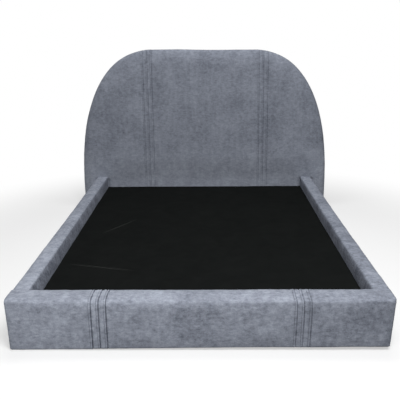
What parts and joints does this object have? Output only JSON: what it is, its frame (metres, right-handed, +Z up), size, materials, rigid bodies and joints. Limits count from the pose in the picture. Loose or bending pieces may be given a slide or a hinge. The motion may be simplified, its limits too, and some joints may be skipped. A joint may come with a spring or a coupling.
{
  "type": "upholstered bed",
  "caption": "Low upholstered bed: padded side and foot rails round a recessed deck, and an arched padded headboard.",
  "frame": {"origin": "on the floor, under the middle of the whole bed's box", "axes": "+X across the bed, to the right seen from its foot; +Y from the foot to the headboard; +Z up"},
  "size_m": [1.932, 2.28, 1.226],
  "materials": {
    "velour": "matte",
    "foam": "matte",
    "plywood": "matte",
    "hardboard": "matte",
    "pine": "matte",
    "black_cloth": "matte",
    "black_plastic": "satin",
    "black_steel": "satin",
    "zinc_steel": "satin"
  },
  "bodies": {
    "bed": {"headboard_cover": "velour", "foot_rail_cover": "velour", "rail_cover_left": "velour", "rail_cover_right": "velour", "headboard_foam": "foam", "foot_rail_foam": "foam", "rail_foam_left": "foam", "rail_foam_right": "foam", "headboard_front_panel": "plywood", "foot_rail_front_board": "plywood", "foot_rail_back_board": "plywood", "deck_panel_foot": "plywood", "deck_panel_head": "plywood", "headboard_rim_left": "plywood", "headboard_rim_right": "plywood", "rail_outer_board_left": "plywood", "rail_outer_board_right": "plywood", "rail_inner_board_left": "plywood", "rail_inner_board_right": "plywood", "headboard_back_board": "hardboard", "headboard_top_rail": "pine", "headboard_middle_rail": "pine", "headboard_bottom_rail": "pine", "foot_rail_battens": "pine", "centre_beam": "pine", "headboard_post_left": "pine", "headboard_post_right": "pine", "rail_battens_left": "pine", "rail_battens_right": "pine", "rail_ledger_left": "pine", "rail_ledger_right": "pine", "slat_1": "pine", "slat_2": "pine", "slat_3": "pine", "slat_4": "pine", "slat_5": "pine", "slat_6": "pine", "slat_7": "pine", "slat_8": "pine", "slat_9": "pine", "deck_cloth": "black_cloth", "headboard_back_cloth": "black_cloth", "headboard_glides": "black_plastic", "base_glides": "black_plastic", "leg_bushes": "black_plastic", "leg_1": "black_steel", "leg_2": "black_steel", "leg_3": "black_steel", "corner_brackets": "zinc_steel", "bracket_bolts": "zinc_steel", "headboard_bolts": "zinc_steel", "tee_nuts": "zinc_steel", "ledger_screws": "zinc_steel", "slat_screws": "zinc_steel", "leg_screws": "zinc_steel"},
    "foot_body_1": {"levelling_foot_1": "zinc_steel"},
    "foot_body_2": {"levelling_foot_2": "zinc_steel"},
    "foot_body_3": {"levelling_foot_3": "zinc_steel"}
  },
  "joints": [
    {"name": "levelling_foot_1_screw", "type": "slide", "parent": "bed", "child": "foot_body_1", "axis": [0, 0, -1], "range_m": [-0.004, 0.012]},
    {"name": "levelling_foot_2_screw", "type": "slide", "parent": "bed", "child": "foot_body_2", "axis": [0, 0, -1], "range_m": [-0.004, 0.012]},
    {"name": "levelling_foot_3_screw", "type": "slide", "parent": "bed", "child": "foot_body_3", "axis": [0, 0, -1], "range_m": [-0.004, 0.012]}
  ]
}
